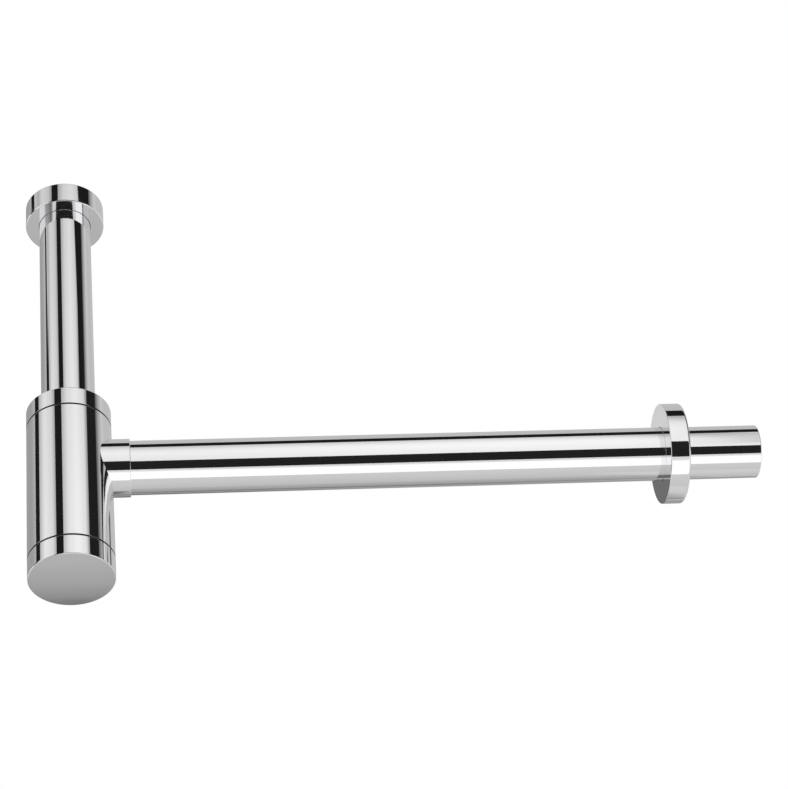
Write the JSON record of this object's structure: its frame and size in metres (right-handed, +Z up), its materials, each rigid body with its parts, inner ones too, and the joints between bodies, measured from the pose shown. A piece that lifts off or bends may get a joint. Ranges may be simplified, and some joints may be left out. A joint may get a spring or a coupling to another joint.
{
  "type": "basin trap",
  "caption": "Round bottle trap for a washbasin: union nut on a straight inlet tube, plain cylindrical bottle with a screw-off cup, long outlet pipe with a sliding wall flange.",
  "frame": {"origin": "on the inlet axis at the top of the inlet gasket, where the tail of the basin waste seats inside the union nut", "axes": "+Z up along the inlet tube into the basin, +X along the outlet pipe towards the wall"},
  "size_m": [0.435, 0.06, 0.2915],
  "materials": {
    "chrome_plate": "mirror-polished chrome on brass",
    "rubber_seal": "black moulded rubber, matt",
    "nylon": "natural nylon, satin"
  },
  "bodies": {
    "inlet": {"inlet_tube": "chrome_plate", "inlet_gasket": "rubber_seal"},
    "slip_ring": {"slip_ring": "nylon"},
    "union_nut": {"union_nut": "chrome_plate"},
    "gland_seal": {"gland_seal": "rubber_seal"},
    "bottle": {"bottle_body": "chrome_plate"},
    "gland_washer": {"gland_washer": "nylon"},
    "gland_nut": {"gland_nut": "chrome_plate"},
    "cup_ring": {"cup_ring": "rubber_seal"},
    "cup": {"cup": "chrome_plate"},
    "outlet_gasket": {"outlet_gasket": "rubber_seal"},
    "outlet_pipe": {"outlet_pipe": "chrome_plate"},
    "flange_ring": {"flange_ring": "rubber_seal"},
    "wall_flange": {"wall_flange": "chrome_plate"}
  },
  "joints": [
    {"name": "union_drop", "type": "slide", "parent": "inlet", "child": "slip_ring", "axis": [0, 0, 1], "range_m": [-0.12, 0]},
    {"name": "union_turn", "type": "hinge", "parent": "slip_ring", "child": "union_nut", "pos_m": [0, 0, 0], "axis": [0, 0, 1], "continuous": true},
    {"name": "height_slide", "type": "slide", "parent": "inlet", "child": "gland_seal", "axis": [0, 0, 1], "range_m": [-0.045, 0.008]},
    {"name": "outlet_swivel", "type": "hinge", "parent": "gland_seal", "child": "bottle", "pos_m": [0, 0, -0.17], "axis": [0, 0, 1], "continuous": true},
    {"name": "gland_lift", "type": "slide", "parent": "bottle", "child": "gland_washer", "axis": [0, 0, 1], "range_m": [0, 0.0075]},
    {"name": "gland_turn", "type": "hinge", "parent": "gland_washer", "child": "gland_nut", "pos_m": [0, 0, -0.17], "axis": [0, 0, 1], "range_deg": [0, 1800]},
    {"name": "cup_drop", "type": "slide", "parent": "bottle", "child": "cup_ring", "axis": [0, 0, -1], "range_m": [0, 0.009]},
    {"name": "cup_turn", "type": "hinge", "parent": "cup_ring", "child": "cup", "pos_m": [0, 0, -0.27], "axis": [0, 0, -1], "range_deg": [0, 2160]},
    {"name": "pipe_draw", "type": "slide", "parent": "bottle", "child": "outlet_gasket", "axis": [1, 0, 0], "range_m": [0, 0.009]},
    {"name": "pipe_turn", "type": "hinge", "parent": "outlet_gasket", "child": "outlet_pipe", "pos_m": [0.03, 0, -0.204], "axis": [1, 0, 0], "range_deg": [0, 3240]},
    {"name": "flange_slide", "type": "slide", "parent": "outlet_pipe", "child": "flange_ring", "axis": [1, 0, 0], "range_m": [-0.31, 0.04]},
    {"name": "flange_turn", "type": "hinge", "parent": "flange_ring", "child": "wall_flange", "pos_m": [0.35375, 0, -0.204], "axis": [1, 0, 0], "continuous": true}
  ],
  "couplings": [
    {"joint": "gland_lift", "follows": "gland_turn", "m_per_rad": 0.00023873},
    {"joint": "cup_drop", "follows": "cup_turn", "m_per_rad": 0.00023873},
    {"joint": "pipe_draw", "follows": "pipe_turn", "m_per_rad": 0.00015915}
  ]
}
